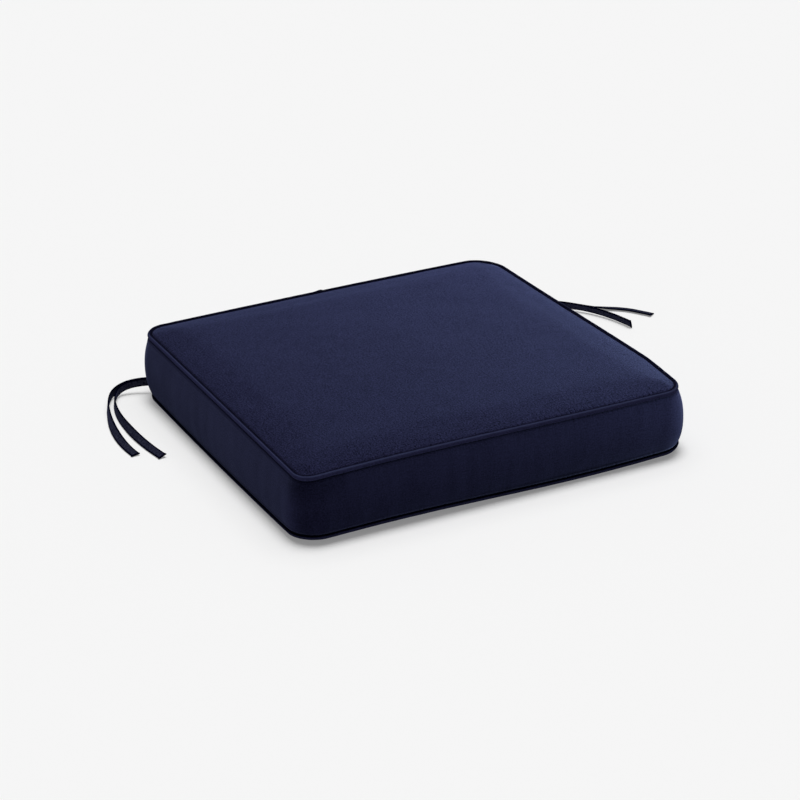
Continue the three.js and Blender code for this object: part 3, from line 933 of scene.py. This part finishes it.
def cornerShade(run, height):
    # painted shade high up round the near corner and painted light low down on its left
    # the near corner is where the run along the seam ends and starts again
    whole = outlineTrue[-1] * mm
    high = height.between(*boxing["cornerHeights"])
    start, full = boxing["darkLeft"]
    beside = run.between(whole - start, whole - full) + 1 - run.between(*boxing["darkRight"])
    start, full, end = boxing["lightLeft"]
    leftOf = run.between(whole - start, whole - full) - run.between(whole - end, whole)
    return leftOf * (1 - high) - beside * high


def coverCloth():
    material, tree, shader = newCloth("navy canvas", "cover")
    weaveMap, u, v = mapOf(tree, "weave")
    seamMap, run, away = mapOf(tree, "seam")
    body = addNode(tree, "ShaderNodeTexCoord", None, None, "Object")
    fromSeam = away.size()
    onPanel = away.between(-panel["parting"], panel["parting"])
    onBoxing = 1 - onPanel
    threads, crossing = weaveOf(u, v)
    layers = {name: noiseOf(tree, body if name == "clouds" else weaveMap, *kind)
              for name, (share, *kind) in mottling.items()}
    uneven = crossing * canvas["threadTone"]
    for name, layer in layers.items():
        uneven = uneven + (layer - 0.5) * mottling[name][0]
    streaks = noiseOf(tree, body, boxing["streakLumps"])

    pucker, shaky = seamPuckers(tree, seamMap, run, fromSeam, onPanel)
    place, width, height, unevenness = boxing["ridge"]
    ridge = fromSeam.bell(place, width) * onBoxing * shaky.ramp(*unevenness) * height
    relief = threads * canvas["threadHeight"] - pucker * puckers["depth"] + ridge
    relief = relief + layers["grain"] * grainHeight

    tone = uneven * onPanel.ramp(*mottlingShares) + 0.5
    # the puckers darken the tone as painted shade in their folds
    tone = tone + (streaks - 0.5) * onBoxing * boxing["streaks"] - pucker * puckers["shade"]
    tone = tone - lowShade(v) * onBoxing
    tone = tone + cornerShade(run, v) * onBoxing * boxing["cornerDark"]
    # painted light on the panels, most of all beside the seam
    length, rim = panel["rim"]
    tone = tone + (fromSeam.fade(length) * rim + panel["lighter"]) * onPanel
    finishCloth(tree, shader, tone, relief, canvas["light"])
    return material


cordCloth = {
    # the lower cord is the same cloth as the upper, painted darker as painted shade
    "upper": {"name": "navy canvas on the bias, painted highlight", "lightness": 1.15, "paintedHighlight": 0.6},
    "lower": {"name": "navy canvas on the bias", "lightness": 0.6, "paintedHighlight": 0.1},
    # share of the tone, lumps to a metre, detail
    "grain": (1.8, 420.0, 2.0), "patches": (0.8, 60.0, 2.0),
    "grainRoughness": 0.6,
    "pulls": ((330, 40, 1), 0.3 * mm),     # the cloth is pulled round the cord: lumps and height
    # the painted highlight along each cord: its width round the cord and its colour
    "crestWidth": 0.85 * mm, "crestColour": (0.030, 0.036, 0.078),
    "behind": (0.5 * mm, 2.4 * mm, 1.3),   # past the crest the cloth is painted darker as painted shade: from, to, by
}


def pipingCloth(looks):
    material, tree, shader = newCloth(looks["name"], "cords")
    cordMap, run, around = mapOf(tree, "cord")
    slant = 1 / math.sqrt(2)
    threads, crossing = weaveOf((run + around) * slant, (run - around) * slant)
    grainShare, lumps, detail = cordCloth["grain"]
    grain = noiseOf(tree, cordMap, lumps, detail, cordCloth["grainRoughness"])
    patchShare, lumps, detail = cordCloth["patches"]
    patches = noiseOf(tree, cordMap, lumps, detail)
    lumps, height = cordCloth["pulls"]
    pulled = noiseOf(tree, cordMap, lumps, 1.0)
    # a painted highlight along the crest
    crest = around.bell(0.0, cordCloth["crestWidth"])
    # painted shade past the crest
    start, end, darker = cordCloth["behind"]
    tone = looks["lightness"] + (grain - 0.5) * grainShare + (patches - 0.5) * patchShare
    tone = tone + crossing * canvas["threadTone"] - around.between(start, end) * darker
    relief = threads * canvas["threadHeight"] + pulled * height
    finishCloth(tree, shader, tone, relief, canvas["light"], crest * (patches + 1) * looks["paintedHighlight"])
    return material


strapCloth = {
    "light": (0.0175, 0.0185, 0.0350),
    "lightness": 0.95,
    "grain": (6.0, 420.0, 2.0), "patches": (1.0, 70.0, 2.0),   # share of the tone, lumps to a metre, detail
    "grainRoughness": 0.6,
    "threadTone": 0.06,
    "stitchPitch": 2.9 * mm, "stitchWidth": 0.28 * mm,
    "stitchEnds": (-0.5, 0.3),     # the part of a wave along the strap that is thread
    "stitchTone": 0.6, "stitchHeight": 0.34 * mm, "stitchSink": 0.2 * mm,
    "darkEdge": (2.8 * mm, 3.8 * mm),      # from the middle of the strap
    "darkEnd": (0.8 * mm, 2.4 * mm),        # from the cut end, which is dark
    "darkest": -0.5,
    "unevenHeight": 0.3 * mm,
}


def tieCloth():
    material, tree, shader = newCloth("navy canvas strap", "ties")
    strapMap, run, across = mapOf(tree, "strap")
    threads, crossing = weaveOf(across, run)
    grainShare, lumps, detail = strapCloth["grain"]
    grain = noiseOf(tree, strapMap, lumps, detail, strapCloth["grainRoughness"])
    patchShare, lumps, detail = strapCloth["patches"]
    patches = noiseOf(tree, strapMap, lumps, detail)
    side = across.size()
    stitchRow = side.bell(tie["stitchFrom"], strapCloth["stitchWidth"])
    stitches = (run * (2 * math.pi / strapCloth["stitchPitch"])).sine().between(*strapCloth["stitchEnds"])
    plain = (1 - side.between(*strapCloth["darkEdge"])) * run.between(*strapCloth["darkEnd"])
    tone = strapCloth["lightness"] + (grain - 0.5) * grainShare + (patches - 0.5) * patchShare
    tone = tone + crossing * strapCloth["threadTone"] + stitchRow * stitches * strapCloth["stitchTone"]
    tone = (tone - strapCloth["darkest"]) * plain + strapCloth["darkest"]
    stitchRelief = stitchRow * (stitches * strapCloth["stitchHeight"] - strapCloth["stitchSink"])
    relief = threads * canvas["threadHeight"] + stitchRelief + patches * strapCloth["unevenHeight"]
    finishCloth(tree, shader, tone, relief, strapCloth["light"])
    return material


def dress(piece, material):
    piece.data.materials.clear()
    piece.data.materials.append(material)


dress(cover, coverCloth())
dress(topPiping, pipingCloth(cordCloth["upper"]))
dress(lowPiping, pipingCloth(cordCloth["lower"]))
strap = tieCloth()
for piece in tiePieces:
    dress(piece, strap)
print("cloth made")


studio = {
    "floor": (0.727, 0.727, 0.727), "floorGlow": 0.22, "floorSize": 60,
    "world": (1.0, 1.0, 1.0), "worldStrength": 0.12,
    # the lights overhead: azimuth from +X and elevation in degrees, strength, and spread in degrees
    "suns": {"small overhead": (-100, 88.6, 1.7, 24), "wide overhead": (40, 86, 0.95, 60)},
    # soft boxes that light the cover alone, or the upper cord alone: place, size, power and colour
    "boxes": {
        "rear box": ((0.66, 0.58, 0.43), 0.5, 10.3, (0.84, 0.94, 1.0)),
        "side box": ((0.55, -0.38, 0.17), 0.25, 2.5, (0.85, 1.0, 0.95)),
        "cord box": ((-0.9, 0.1, 0.35), 0.3, 1.0, (1.0, 1.0, 0.97)),
    },
}


def addFloor():
    deselectAll()
    bpy.ops.mesh.primitive_plane_add(size=studio["floorSize"], location=(0, 0, 0))
    floor = bpy.context.object
    floor.name = "floor"
    material = bpy.data.materials.new("pale floor")
    material.use_nodes = True
    shader = material.node_tree.nodes["Principled BSDF"]
    shader.inputs["Base Color"].default_value = (*studio["floor"], 1)
    shader.inputs["Roughness"].default_value = 1.0
    shader.inputs["Specular IOR Level"].default_value = 0.0
    shader.inputs["Emission Color"].default_value = (1, 1, 1, 1)
    shader.inputs["Emission Strength"].default_value = studio["floorGlow"]
    floor.data.materials.append(material)


def addLamp(kind, name, place):
    # a lamp that points at the middle of the cushion
    deselectAll()
    bpy.ops.object.light_add(type=kind, location=place, rotation=place.to_track_quat("Z", "Y").to_euler())
    bpy.context.object.name = name
    return bpy.context.object


def addLights():
    world = bpy.data.worlds.new("studio")
    bpy.context.scene.world = world
    world.use_nodes = True
    world.node_tree.nodes["Background"].inputs["Color"].default_value = (*studio["world"], 1)
    world.node_tree.nodes["Background"].inputs["Strength"].default_value = studio["worldStrength"]
    for name, (azimuth, elevation, strength, spreadAngle) in studio["suns"].items():
        a, e = math.radians(azimuth), math.radians(elevation)
        place = Vector((math.cos(a) * math.cos(e), math.sin(a) * math.cos(e), math.sin(e)))
        sun = addLamp("SUN", name, place)
        sun.data.energy = strength
        sun.data.angle = math.radians(spreadAngle)
    for name, (place, size, power, colour) in studio["boxes"].items():
        box = addLamp("AREA", name, Vector(place))
        box.data.shape = "DISK"
        box.data.size = size
        box.data.energy = power
        box.data.color = colour
        lit = bpy.data.collections.new("lit by the " + name)
        lit.objects.link(topPiping if name == "cord box" else cover)
        box.light_linking.receiver_collection = lit
        box.visible_camera = False
    bpy.context.scene.view_settings.view_transform = "Standard"
    bpy.context.scene.view_settings.look = "None"


addFloor()
addLights()
print("studio lit")
